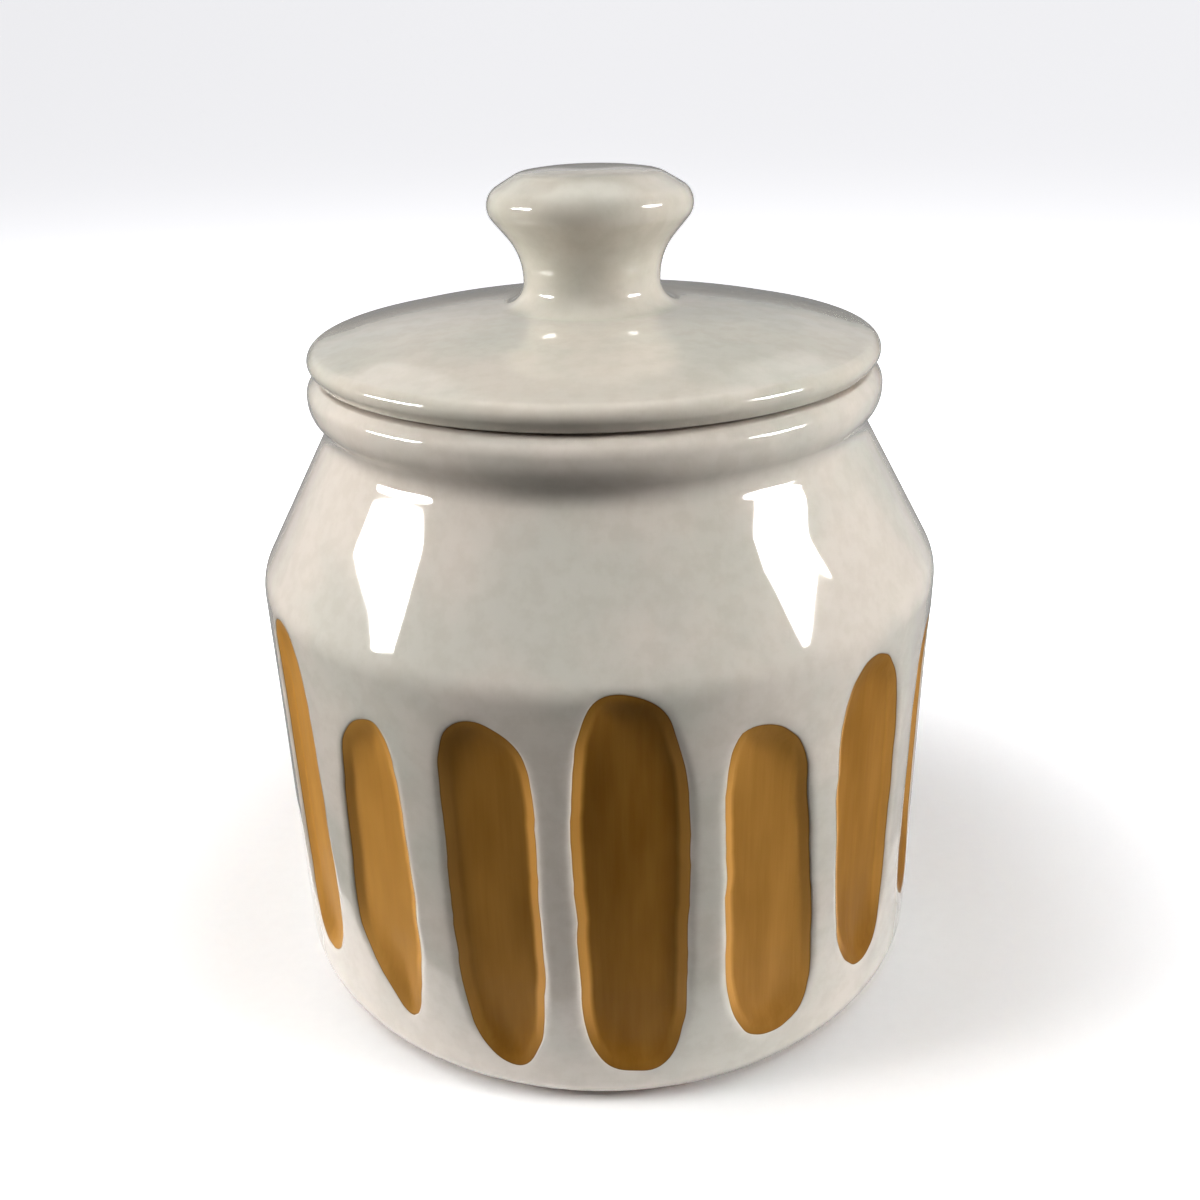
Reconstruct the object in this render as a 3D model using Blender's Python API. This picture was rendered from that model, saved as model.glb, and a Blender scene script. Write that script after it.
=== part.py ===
"""Lidded stoneware candy jar with hand-carved flutes round its wall.

Metres, +Z up. The origin is the centre of the foot's resting plane, and the jar stands on it.
The front, where the widest flute is, looks along -Y. Angles run from the front towards +X.
"""

import math

import bmesh
import bpy

MM = 0.001

# Jar body, outside
SHOULDER_RADIUS = 79.6 * MM
SHOULDER_HEIGHT = 103.2 * MM
WALL_TAPER = 0.5 * MM
NECK_DRAW_IN = 17.4 * MM
NECK_HEIGHT = 136.4 * MM
BEAD_REACH = 2.8 * MM
BEAD_BELLY_RISE = 3.4 * MM
BEAD_HEIGHT = 11.6 * MM
BEAD_LIP_INSET = 1.5 * MM
BEAD_LIP_DROP = 2.4 * MM
HEEL_ROUNDING = 10.1 * MM
SHOULDER_ROUNDING = 10.0 * MM
NECK_ROUNDING = 3.0 * MM
BEAD_BELLY_ROUNDING = 11.2 * MM
BEAD_LIP_ROUNDING = 6.9 * MM

# Jar body, inside and underneath
WALL = 6.6 * MM
FLOOR = 7.0 * MM
NECK_WALL = 6.2 * MM
MOUTH_ROUNDING = 1.6 * MM
CAVITY_FLOOR_ROUNDING = 13.0 * MM
CAVITY_SHOULDER_ROUNDING = 8.0 * MM
FOOT_RING_WIDTH = 7.0 * MM
FOOT_RECESS = 2.4 * MM
FOOT_EDGE_ROUNDING = 0.9 * MM

# Carved flutes
FLUTE_DEPTH = 2.2 * MM
FLUTE_EDGE_DEPTH = 1.5 * MM
FLUTE_LIP = 1.5 * MM
FLUTE_EDGE_WIDTH = 3.0 * MM
FLUTE_DISH_WIDTH = 7.0 * MM
FLUTE_FOOT_RISE = 13.0 * MM
FLUTE_SHOULDER_DROP = 9.0 * MM
FLUTE_ANGLE = 15.0
FLUTE_END_SQUARENESS = 5.0
FLUTE_SIDE_FULLNESS = 2.5
HIDDEN_FLUTES = 10
CUTTER_OVERHANG = 1.2 * MM

# Lid
LID_EDGE_INSET = 0.5 * MM
LID_SEAT_INSET = 1.0 * MM
LID_UNDERCUT_RISE = 1.8 * MM
LID_EDGE_RISE = 3.7 * MM
LID_PILLOW_RISE = 2.6 * MM
LID_DOME_RISE = 6.4 * MM
LID_SQUARENESS = 6.3
LID_EDGE_ROUNDING = 6.5 * MM
LID_THICKNESS = 7.0 * MM
FLANGE_CLEARANCE = 1.3 * MM
FLANGE_WALL = 5.0 * MM
FLANGE_DEPTH = 10.0 * MM
FLANGE_ROUNDING = 1.6 * MM
SEAT_GAP = 0.3 * MM

# Knob
KNOB_HEIGHT = 28.3 * MM
KNOB_RADIUS = 24.4 * MM
KNOB_RIM_DROP = 6.6 * MM
KNOB_CROWN_RADIUS = 9.0 * MM
KNOB_CROWN_DROP = 0.9 * MM
KNOB_CROWN_ROUNDING = 45.0 * MM
KNOB_TOP_ROUNDING = 7.4 * MM
KNOB_TOP_SLOPE = 8.9 * MM
KNOB_RIM_ROUNDING = 3.3 * MM
WAIST_RADIUS = 15.3 * MM
WAIST_RISE = 10.3 * MM
WAIST_ROUNDING = 15.0 * MM
KNOB_FOOT_ROUNDING = 5.4 * MM
KNOB_FOOT_RADIUS = 27.0 * MM
KNOB_WALL = 5.6 * MM

# Facets
SEGMENTS = 60
ARC_STEP = math.radians(25)
CROWN_STEPS = 7
FLUTE_POINTS = 22
SHARP_ANGLE = math.radians(35)
MOST_OF_AN_EDGE = 0.49
ALMOST_STRAIGHT = 0.01
MERGE_DISTANCE = 1e-6

# Radii and heights that follow from the sizes above
BASE_RADIUS = SHOULDER_RADIUS + WALL_TAPER
NECK_RADIUS = SHOULDER_RADIUS - NECK_DRAW_IN
BEAD_RADIUS = NECK_RADIUS + BEAD_REACH
MOUTH_RADIUS = NECK_RADIUS - NECK_WALL
LID_RADIUS = BEAD_RADIUS - LID_EDGE_INSET
SEAT_HEIGHT = NECK_HEIGHT + BEAD_HEIGHT
LID_BOTTOM = SEAT_HEIGHT + SEAT_GAP
LID_CROWN = LID_BOTTOM + LID_EDGE_RISE + LID_PILLOW_RISE + LID_DOME_RISE
FLANGE_RADIUS = MOUTH_RADIUS - FLANGE_CLEARANCE
KNOB_TOP = LID_CROWN + KNOB_HEIGHT


class Flute:
    """One carved flute: where its glazed floor lies on the wall, as the hand left it.

    azimuth and width are angles in degrees round the wall. foot and head are how far the floor's
    ends lie above the common foot line and below the common head line, in millimetres. lean moves
    the head sideways against the foot, and taper widens the head, both as angles in degrees.
    foot_tilt and head_tilt lift the right end of each end line, in millimetres.
    """

    def __init__(
        self,
        azimuth,
        width,
        foot=0.0,
        head=0.0,
        lean=0.0,
        taper=0.0,
        foot_tilt=0.0,
        head_tilt=0.0,
    ):
        self.azimuth = azimuth
        self.width = width
        self.low = FLUTE_FOOT_RISE + foot * MM
        self.high = SHOULDER_HEIGHT - FLUTE_SHOULDER_DROP - head * MM
        self.lean = lean
        self.taper = taper
        self.foot_tilt = foot_tilt * MM
        self.head_tilt = head_tilt * MM

    def point(self, turn, grow, depth):
        """The point at this turn of the outline, grown outwards by a length and sunk by a depth."""
        across = squared(math.cos(turn), FLUTE_SIDE_FULLNESS)
        along = squared(math.sin(turn), FLUTE_END_SQUARENESS)
        middle = (self.low + self.high) / 2
        half_height = max((self.high - self.low) / 2 + grow, MERGE_DISTANCE)
        tilt = self.head_tilt if along > 0 else self.foot_tilt
        height = middle + half_height * along + tilt * across * along**2
        half_width = math.radians(self.width + self.taper * along) / 2
        half_width = half_width + grow / SHOULDER_RADIUS
        angle = math.radians(self.azimuth + self.lean * along / 2) + half_width * across
        radius = wall_radius(height) - depth
        return radius * math.sin(angle), -radius * math.cos(angle), height


def squared(share, squareness):
    """A sine or cosine pushed out towards plus or minus 1, so that an oval turns squarer."""
    return math.copysign(abs(share) ** (2 / squareness), share)


def wall_radius(height):
    """Radius of the straight wall at a height, carried on past its ends."""
    return BASE_RADIUS + (SHOULDER_RADIUS - BASE_RADIUS) * height / SHOULDER_HEIGHT


def carved_flutes():
    """The flutes that show from the front, as carved, and those behind, which vary by a formula."""
    flutes = [
        Flute(-59.0, 13.5, foot=3.0, head=-7.0, lean=-3.0),
        Flute(-38.2, 13.6, foot=6.0, head=4.5, foot_tilt=-7.0, head_tilt=1.0),
        Flute(-17.2, 14.4, foot=1.0, head=-0.5, foot_tilt=-6.5, head_tilt=-4.0),
        Flute(3.6, 17.0, foot=-2.0, head=-9.0, foot_tilt=-1.5, head_tilt=-3.5),
        Flute(25.9, 15.3, head=2.5, lean=-1.8, taper=-0.8, head_tilt=-4.5),
        Flute(46.2, 15.6, foot=4.0, head=-3.5, taper=1.6, head_tilt=-2.0),
        Flute(69.5, 15.0, foot=5.0, head=1.0, foot_tilt=1.5),
    ]
    start = flutes[-1].azimuth
    spacing = (360.0 + flutes[0].azimuth - start) / (HIDDEN_FLUTES + 1)
    # The two sines only make each hidden flute a little unlike its neighbours.
    for index in range(1, HIDDEN_FLUTES + 1):
        sway = math.sin(2.4 * index)
        drift = math.sin(4.1 * index + 1.0)
        flutes.append(
            Flute(
                start + spacing * index + 0.5 * drift,
                FLUTE_ANGLE * (1 + 0.05 * sway),
                foot=2.5 * drift,
                head=3.5 * sway,
                lean=1.2 * drift,
                foot_tilt=-3.0 * sway,
                head_tilt=2.5 * drift,
            )
        )
    return flutes


def rounded(corners):
    """A profile through (radius, height, rounding) corners, each rounded by an arc that fits."""
    points = [corners[0][:2]]
    for before, corner, after in zip(corners, corners[1:], corners[2:]):
        radius, height, rounding = corner
        back = (before[0] - radius, before[1] - height)
        ahead = (after[0] - radius, after[1] - height)
        back_length = math.hypot(*back)
        ahead_length = math.hypot(*ahead)
        back = (back[0] / back_length, back[1] / back_length)
        ahead = (ahead[0] / ahead_length, ahead[1] / ahead_length)
        half = math.acos(max(-1.0, min(1.0, back[0] * ahead[0] + back[1] * ahead[1]))) / 2
        if rounding == 0 or math.pi / 2 - half < ALMOST_STRAIGHT:
            points.append((radius, height))
            continue
        cut = min(rounding / math.tan(half), MOST_OF_AN_EDGE * min(back_length, ahead_length))
        rounding = cut * math.tan(half)
        middle = (back[0] + ahead[0], back[1] + ahead[1])
        reach = rounding / math.sin(half) / math.hypot(*middle)
        centre = (radius + middle[0] * reach, height + middle[1] * reach)
        first = (radius + back[0] * cut, height + back[1] * cut)
        last = (radius + ahead[0] * cut, height + ahead[1] * cut)
        start = math.atan2(first[1] - centre[1], first[0] - centre[0])
        end = math.atan2(last[1] - centre[1], last[0] - centre[0])
        sweep = (end - start + math.pi) % (2 * math.pi) - math.pi
        steps = max(1, round(abs(sweep) / ARC_STEP))
        for step in range(steps + 1):
            angle = start + sweep * step / steps
            points.append(
                (centre[0] + rounding * math.cos(angle), centre[1] + rounding * math.sin(angle))
            )
    points.append(corners[-1][:2])
    return points


def glaze(name, colour, roughness):
    """A Principled material for fired glaze or bare clay."""
    material = bpy.data.materials.new(name)
    material.use_nodes = True
    shader = material.node_tree.nodes["Principled BSDF"]
    shader.inputs["Base Color"].default_value = (*colour, 1.0)
    shader.inputs["Roughness"].default_value = roughness
    shader.inputs["Metallic"].default_value = 0.0
    material.diffuse_color = (*colour, 1.0)
    return material


def add_object(name, mesh, materials):
    """Puts a mesh in the scene as a named object, shaded smooth except at its sharp edges."""
    mesh.shade_smooth()
    mesh.set_sharp_from_angle(angle=SHARP_ANGLE)
    for material in materials:
        mesh.materials.append(material)
    piece = bpy.data.objects.new(name, mesh)
    bpy.context.scene.collection.objects.link(piece)
    return piece


def turned(name, profile, materials):
    """Turns a profile, which starts and ends on the axis, round +Z into one closed solid."""
    form = bmesh.new()
    verts = [form.verts.new((radius, 0.0, height)) for radius, height in profile]
    edges = [form.edges.new(pair) for pair in zip(verts, verts[1:])]
    bmesh.ops.spin(
        form,
        geom=verts + edges,
        axis=(0, 0, 1),
        cent=(0, 0, 0),
        angle=2 * math.pi,
        steps=SEGMENTS,
        use_merge=True,
    )
    bmesh.ops.remove_doubles(form, verts=form.verts, dist=MERGE_DISTANCE)
    bmesh.ops.recalc_face_normals(form, faces=form.faces)
    mesh = bpy.data.meshes.new(name)
    form.to_mesh(mesh)
    form.free()
    return add_object(name, mesh, materials)


def jar_profile():
    """The jar's outline: underside, foot ring, wall, shoulder, bead, mouth and round the cavity."""
    ring_inner = BASE_RADIUS - HEEL_ROUNDING - FOOT_RING_WIDTH
    lean = math.atan2(SHOULDER_RADIUS - NECK_RADIUS, NECK_HEIGHT - SHOULDER_HEIGHT)
    cavity_radius = SHOULDER_RADIUS - WALL
    cavity_shoulder = SHOULDER_HEIGHT - WALL * math.tan(lean / 2)
    cavity_neck = cavity_shoulder + (cavity_radius - MOUTH_RADIUS) / math.tan(lean)
    cavity_floor = FOOT_RECESS + FLOOR
    return rounded(
        [
            (0.0, FOOT_RECESS, 0.0),
            (ring_inner - FOOT_RECESS / 2, FOOT_RECESS, FOOT_EDGE_ROUNDING),
            (ring_inner, 0.0, FOOT_EDGE_ROUNDING),
            (BASE_RADIUS, 0.0, HEEL_ROUNDING),
            (SHOULDER_RADIUS, SHOULDER_HEIGHT, SHOULDER_ROUNDING),
            (NECK_RADIUS, NECK_HEIGHT, NECK_ROUNDING),
            (BEAD_RADIUS, NECK_HEIGHT + BEAD_BELLY_RISE, BEAD_BELLY_ROUNDING),
            (BEAD_RADIUS, SEAT_HEIGHT - BEAD_LIP_DROP, BEAD_LIP_ROUNDING),
            (BEAD_RADIUS - BEAD_LIP_INSET, SEAT_HEIGHT, 0.0),
            (MOUTH_RADIUS, SEAT_HEIGHT, MOUTH_ROUNDING),
            (MOUTH_RADIUS, cavity_neck, CAVITY_SHOULDER_ROUNDING),
            (cavity_radius, cavity_shoulder, CAVITY_SHOULDER_ROUNDING),
            (BASE_RADIUS - WALL, cavity_floor, CAVITY_FLOOR_ROUNDING),
            (0.0, cavity_floor, 0.0),
        ]
    )


def crown_height(radius):
    """Height of the lid's top: a pillow that drops at the edge, on a low dome."""
    share = min(radius / LID_RADIUS, 1.0)
    pillow = LID_PILLOW_RISE * math.sqrt(1 - share**LID_SQUARENESS)
    dome = LID_DOME_RISE * (1 - share**2)
    return LID_BOTTOM + LID_EDGE_RISE + pillow + dome


def lid_profile():
    """The lid's outline: knob, crowned top, edge, seat, flange and up the hollow inside the knob."""
    bore_radius = WAIST_RADIUS - KNOB_WALL
    waist_height = LID_CROWN + WAIST_RISE
    rim_height = KNOB_TOP - KNOB_RIM_DROP
    crown = []
    for step in range(CROWN_STEPS + 1):
        reach = math.sin(math.pi / 2 * step / CROWN_STEPS)
        radius = KNOB_FOOT_RADIUS + (LID_RADIUS - KNOB_FOOT_RADIUS) * reach
        crown.append((radius, crown_height(radius), 0.0))
    flange_bottom = SEAT_HEIGHT - FLANGE_DEPTH
    flange_inner = FLANGE_RADIUS - FLANGE_WALL
    hollow_top = KNOB_TOP - KNOB_WALL
    hollow_radius = KNOB_RADIUS - KNOB_WALL - KNOB_RIM_ROUNDING / 2
    return rounded(
        [
            (0.0, KNOB_TOP, 0.0),
            (KNOB_CROWN_RADIUS, KNOB_TOP, KNOB_CROWN_ROUNDING),
            (KNOB_RADIUS - KNOB_TOP_SLOPE, KNOB_TOP - KNOB_CROWN_DROP, KNOB_TOP_ROUNDING),
            (KNOB_RADIUS, rim_height, KNOB_RIM_ROUNDING),
            (WAIST_RADIUS, waist_height, WAIST_ROUNDING),
            (WAIST_RADIUS, crown_height(WAIST_RADIUS), KNOB_FOOT_ROUNDING),
            *crown,
            (LID_RADIUS, LID_BOTTOM + LID_UNDERCUT_RISE, LID_EDGE_ROUNDING),
            (LID_RADIUS - LID_SEAT_INSET, LID_BOTTOM, 0.0),
            (FLANGE_RADIUS, LID_BOTTOM, 0.0),
            (FLANGE_RADIUS, flange_bottom, FLANGE_ROUNDING),
            (flange_inner, flange_bottom, FLANGE_ROUNDING),
            (flange_inner, crown_height(flange_inner) - LID_THICKNESS, FLANGE_ROUNDING),
            (bore_radius, crown_height(bore_radius) - LID_THICKNESS, FLANGE_ROUNDING),
            (bore_radius, waist_height, KNOB_WALL),
            (hollow_radius, hollow_top, KNOB_RIM_ROUNDING),
            (0.0, hollow_top, 0.0),
        ]
    )


def flute_cutters(flutes, materials):
    """One closed scoop for each flute: sloping lip, glazed edge and a floor dished to its middle."""
    form = bmesh.new()
    lip_slope = FLUTE_LIP / FLUTE_EDGE_DEPTH
    rings = [
        (FLUTE_LIP + lip_slope * CUTTER_OVERHANG, -CUTTER_OVERHANG, 0),
        (0.0, FLUTE_EDGE_DEPTH, 0),
        (-FLUTE_EDGE_WIDTH, (FLUTE_EDGE_DEPTH + 2 * FLUTE_DEPTH) / 3, 1),
        (-FLUTE_DISH_WIDTH, FLUTE_DEPTH, 1),
    ]
    for flute in flutes:
        loops = []
        for grow, depth, slot in rings:
            loop = []
            for index in range(FLUTE_POINTS):
                turn = 2 * math.pi * index / FLUTE_POINTS
                loop.append(form.verts.new(flute.point(turn, grow, depth)))
            for index in range(FLUTE_POINTS if loops else 0):
                after = (index + 1) % FLUTE_POINTS
                outer = loops[-1]
                face = form.faces.new((outer[index], outer[after], loop[after], loop[index]))
                face.material_index = slot
            loops.append(loop)
        form.faces.new(loops[0])
        form.faces.new(loops[-1]).material_index = 1
    bmesh.ops.recalc_face_normals(form, faces=form.faces)
    mesh = bpy.data.meshes.new("flute_cutters")
    form.to_mesh(mesh)
    form.free()
    cutters = add_object("flute_cutters", mesh, materials)
    cutters.hide_render = True
    cutters.display_type = "WIRE"
    return cutters


def clear_scene():
    for piece in list(bpy.data.objects):
        bpy.data.objects.remove(piece, do_unlink=True)


clear_scene()

ivory_glaze = glaze("ivory_glaze", (0.60, 0.57, 0.52), 0.16)
amber_glaze = glaze("amber_glaze", (0.26, 0.13, 0.035), 0.30)

jar_body = turned("jar_body", jar_profile(), [ivory_glaze, amber_glaze])
cutters = flute_cutters(carved_flutes(), [ivory_glaze, amber_glaze])
carving = jar_body.modifiers.new("carved_flutes", "BOOLEAN")
carving.operation = "DIFFERENCE"
carving.object = cutters

lid = turned("lid", lid_profile(), [ivory_glaze])
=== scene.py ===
"""Carved candy jar: a stoneware jar with seventeen brushed flutes, and its loose lid."""

import math

import bpy
import numpy as np
from mathutils import Matrix


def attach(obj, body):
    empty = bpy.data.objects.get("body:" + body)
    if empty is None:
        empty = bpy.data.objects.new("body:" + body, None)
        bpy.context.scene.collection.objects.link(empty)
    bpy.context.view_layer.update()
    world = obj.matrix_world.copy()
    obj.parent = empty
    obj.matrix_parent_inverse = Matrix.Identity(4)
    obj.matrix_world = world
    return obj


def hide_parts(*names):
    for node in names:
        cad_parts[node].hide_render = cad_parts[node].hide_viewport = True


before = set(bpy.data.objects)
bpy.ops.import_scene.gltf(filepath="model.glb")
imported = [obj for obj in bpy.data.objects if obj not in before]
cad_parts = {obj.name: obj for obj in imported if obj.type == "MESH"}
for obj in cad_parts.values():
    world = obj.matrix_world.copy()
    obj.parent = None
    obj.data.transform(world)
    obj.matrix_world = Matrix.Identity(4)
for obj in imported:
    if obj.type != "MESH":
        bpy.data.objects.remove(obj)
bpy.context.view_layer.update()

# Jar body. One piece of stoneware: turned on the wheel, its seventeen flutes carved with a loop tool
# while it was leather-hard, then dipped in ivory glaze except for the flutes, which are brushed with
# iron, and the foot ring, which is wiped bare so that it doesn't stick to the kiln shelf.
MM = 0.001
FOOT_RADIUS = 79.95
SHOULDER_RADIUS = 79.6
SHOULDER_HEIGHT = 103.2
NECK_RADIUS = 61.2
NECK_HEIGHT = 136.1
BEAD_RADIUS = 65.0
SEAT_HEIGHT = 148.0
MOUTH_RADIUS = 56.0
BEAD_SWELL = 4.8
BEAD_TURN = 2.4
SEAT_EDGE = 4.0
SEAT_BEVEL = 2.2
SEAT_BEVEL_DROP = 0.35
MOUTH_ROUNDING = 1.6
JAR_WALL = 6.6
FOOT_RING_INNER = 63.0
FOOT_RING_SLANT = 1.2
FOOT_RING_ROUNDING = 0.9
FOOT_RECESS = 2.4
HEEL_ROUNDING = 10.1
SHOULDER_ROUNDING = 10.0
NECK_ROUNDING = 5.0
CAVITY_FLOOR = 9.4
CAVITY_FLOOR_ROUNDING = 13.0
CAVITY_ROUNDING = 8.0
JAR_ROWS = 176
JAR_ROWS_EACH_TURN = 46

# The flutes. Their feet, their heads and all that is carved lie between these heights. A ramp is the
# stretch at a flute's end where the tool comes in or out, and towards the foot the iron is darker.
# The least half-width, a share of a flute's width, holds for its columns beyond its ends.
FEET = (6, 26)
HEADS = (84, 110)
CARVED_HEIGHTS = (1, 118)
CARVE_DEPTH = 2.0
DISH_DEPTH = 0.3
LIP_OUTSIDE = 1.9
LIP_INSIDE = 2.5
RAMP_LENGTH = 20.0
RAMP_SHARE = 0.95
# The iron is lighter where the cut is steep, partly as it thins and partly as a painted sheen of the side
# lights.
THIN_AND_SHEEN_ON_SIDES = 0.45
FOOT_DARKENING_LENGTH = 30.0
FOOT_DARKENING_SHARE = 0.2
CARVE_REACH = 8.0
LEAST_HALF_WIDTH = 0.31
FLUTE_COLUMNS = 32

# One row for each flute that the front shows, from left to right. The columns: azimuth and width in
# degrees; the floor's foot and head above the table; lean and taper in degrees; how far the right end
# of the foot line and of the head line lies higher, all in millimetres; three squarenesses, of the
# foot, the head and the long sides; and how light the iron is, from 0 to 1, partly how thinly it was
# brushed and partly painted light and shade for how brightly each flute is lit.
CARVED = np.array(
    [
        (-59.0, 13.5, 16.0, 101.2, -3.0, 0.0, 0.0, 0.0, 5.0, 5.0, 2.5, 0.70),
        (-38.3, 13.6, 19.8, 90.1, 0.1, -1.9, -11.9, 2.9, 4.5, 4.8, 2.8, 0.80),
        (-17.2, 14.3, 10.6, 96.0, -1.0, 0.0, -4.4, -0.9, 4.2, 9.0, 2.0, 0.44),
        (3.6, 17.0, 10.4, 103.1, -0.3, 1.0, -0.4, -3.0, 5.5, 3.2, 2.7, 0.34),
        (25.4, 15.2, 12.7, 92.5, -2.9, -1.9, 0.4, -2.9, 5.4, 9.0, 2.0, 0.58),
        (46.3, 15.6, 16.7, 98.3, -1.6, 2.2, -1.7, -1.8, 5.9, 3.9, 2.0, 0.42),
        (69.5, 15.0, 18.0, 93.2, 0.0, 0.0, 1.5, 0.0, 5.0, 5.0, 2.5, 0.35),
    ]
)
AZIMUTH, WIDTH, FOOT, HEAD, LEAN, TAPER, FOOT_TILT, HEAD_TILT = range(8)
SQUARENESSES = slice(8, 11)
IRON_LIGHTNESS = 11
HIDDEN_FLUTES = 10


def all_flutes():
    """The carved rows, then the unseen flutes spaced evenly between the last and the first. Each
    unseen one differs from a plain flute by sines of its number, so no two are alike."""
    number = np.arange(1, HIDDEN_FLUTES + 1)
    spacing = (360 + CARVED[0, AZIMUTH] - CARVED[-1, AZIMUTH]) / (HIDDEN_FLUTES + 1)
    sway = np.sin(2.4 * number)
    drift = np.sin(4.1 * number + 1.0)
    hidden = np.empty((HIDDEN_FLUTES, CARVED.shape[1]))
    hidden[:, AZIMUTH] = CARVED[-1, AZIMUTH] + spacing * number + 0.5 * drift
    hidden[:, WIDTH] = 15.0 + 0.75 * sway
    hidden[:, FOOT] = 13.0 + 2.5 * drift
    hidden[:, HEAD] = 94.2 - 3.5 * sway
    hidden[:, LEAN] = 1.2 * drift
    hidden[:, TAPER] = 0.8 * sway
    hidden[:, FOOT_TILT] = -3.0 * sway
    hidden[:, HEAD_TILT] = 2.5 * drift
    hidden[:, SQUARENESSES] = (5.0, 5.0, 2.5)
    hidden[:, IRON_LIGHTNESS] = 0.4 + 0.15 * drift
    return np.vstack([CARVED, hidden])


def squared(share, squareness):
    """A sine or cosine raised to 2 / squareness with its sign kept: an oval pushed out to a slab."""
    return np.copysign(np.abs(share) ** (2 / squareness), share)


def flute_outline(flute, number, count=480):
    """The edge of one flute's floor as (millimetres round the wall, height), evenly spaced.

    A superellipse whose ends tilt, whose width tapers and which leans; then every point is moved
    along the edge's normal by a sum of sines of the length walked, which is the knife's wobble."""
    azimuth, width, foot, head, lean, taper, foot_tilt, head_tilt = flute[: HEAD_TILT + 1]
    foot_square, head_square, side_square = flute[SQUARENESSES]
    turn = np.linspace(0, 2 * np.pi, 4 * count)
    across = squared(np.cos(turn), side_square)
    upper = np.sin(turn) > 0
    along = np.where(upper, squared(np.sin(turn), head_square), squared(np.sin(turn), foot_square))
    height = (foot + head) / 2 + (head - foot) / 2 * along
    height = height + np.where(upper, head_tilt, foot_tilt) * across * along**2
    angle = azimuth + lean * along / 2 + (width + taper * along) / 2 * across
    edge = np.stack([np.radians(angle) * SHOULDER_RADIUS, height])
    walked = np.concatenate([[0], np.cumsum(np.hypot(*np.diff(edge)))])
    share = np.arange(count) / count
    edge = np.stack([np.interp(share * walked[-1], walked, line) for line in edge])
    heading = np.roll(edge, -1, axis=1) - np.roll(edge, 1, axis=1)
    normal = np.stack([heading[1], -heading[0]]) / np.hypot(*heading)
    wobble = np.zeros(count)
    for waves, size in ((5, 0.17), (9, 0.15), (14, 0.13), (23, 0.08), (37, 0.05)):
        steady = 0.6 + 0.4 * np.sin(2 * np.pi * (waves % 4 + 1) * share + number + waves)
        wobble += size * steady * np.sin(2 * np.pi * waves * share + 1.7 * number * waves)
    return edge + normal * wobble


def distance_to(edge, around, height):
    """How far points lie outside a closed outline, in millimetres, and below zero inside it: the
    nearest distance to any of its straight pieces, signed by how often a ray crosses it."""
    start, end = edge, np.roll(edge, -1, axis=1)
    run = end - start
    off = np.stack([around[:, None] - start[0], height[:, None] - start[1]])
    share = np.clip((off * run[:, None]).sum(0) / (run**2).sum(0), 0, 1)
    gap = np.hypot(off[0] - share * run[0], off[1] - share * run[1]).min(1)
    spans = (start[1] > height[:, None]) != (end[1] > height[:, None])
    rise = np.where(run[1] == 0, 1, run[1])
    crossing = start[0] + (height[:, None] - start[1]) / rise * run[0]
    inside = (spans & (around[:, None] < crossing)).sum(1) % 2 == 1
    return np.where(inside, -gap, gap)


def rounded_outline(corners):
    """Dense (radius, height) points through corners of (radius, height, rounding), in which each
    corner is replaced by the arc of that radius that touches both its sides."""
    points = [np.array([corners[0][:2]])]
    for before, corner, after in zip(corners, corners[1:], corners[2:]):
        here = np.array(corner[:2])
        back, ahead = np.array(before[:2]) - here, np.array(after[:2]) - here
        back_length, ahead_length = np.hypot(*back), np.hypot(*ahead)
        back, ahead = back / back_length, ahead / ahead_length
        half = math.acos(np.clip(back @ ahead, -1, 1)) / 2
        if corner[2] == 0 or half > 0.495 * math.pi:
            points.append(here[None])
            continue
        cut = min(corner[2] / math.tan(half), 0.49 * back_length, 0.49 * ahead_length)
        middle = (back + ahead) / np.hypot(*(back + ahead))
        centre = here + middle * cut / math.cos(half)
        first, last = here + back * cut - centre, here + ahead * cut - centre
        start = math.atan2(first[1], first[0])
        sweep = (math.atan2(last[1], last[0]) - start + math.pi) % (2 * math.pi) - math.pi
        angle = start + sweep * np.linspace(0, 1, 24)
        points.append(centre + np.hypot(*first) * np.stack([np.cos(angle), np.sin(angle)], 1))
    points.append(np.array([corners[-1][:2]]))
    return np.vstack(points)


def spaced_rows(outline, rows_each_mm, rows_each_turn, count):
    """Rows along an outline, denser where they are wanted. The outline is cut into tenths of a
    millimetre, and a row falls each time the sum of the wanted density and of the turn of its
    direction grows by an equal share."""
    walked = np.concatenate([[0], np.cumsum(np.hypot(*np.diff(outline.T)))])
    fine = np.linspace(0, walked[-1], int(walked[-1] * 10))
    radius, height = (np.interp(fine, walked, line) for line in outline.T)
    heading = np.unwrap(np.arctan2(np.gradient(height), np.gradient(radius)))
    wanted = rows_each_mm(radius, height) * np.gradient(fine)
    wanted = wanted + rows_each_turn * np.abs(np.gradient(heading)) / (2 * np.pi)
    total = np.concatenate([[0], np.cumsum(wanted[1:])])
    place = np.interp(np.linspace(0, total[-1], count), total, fine)
    return np.interp(place, fine, radius), np.interp(place, fine, height)


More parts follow.
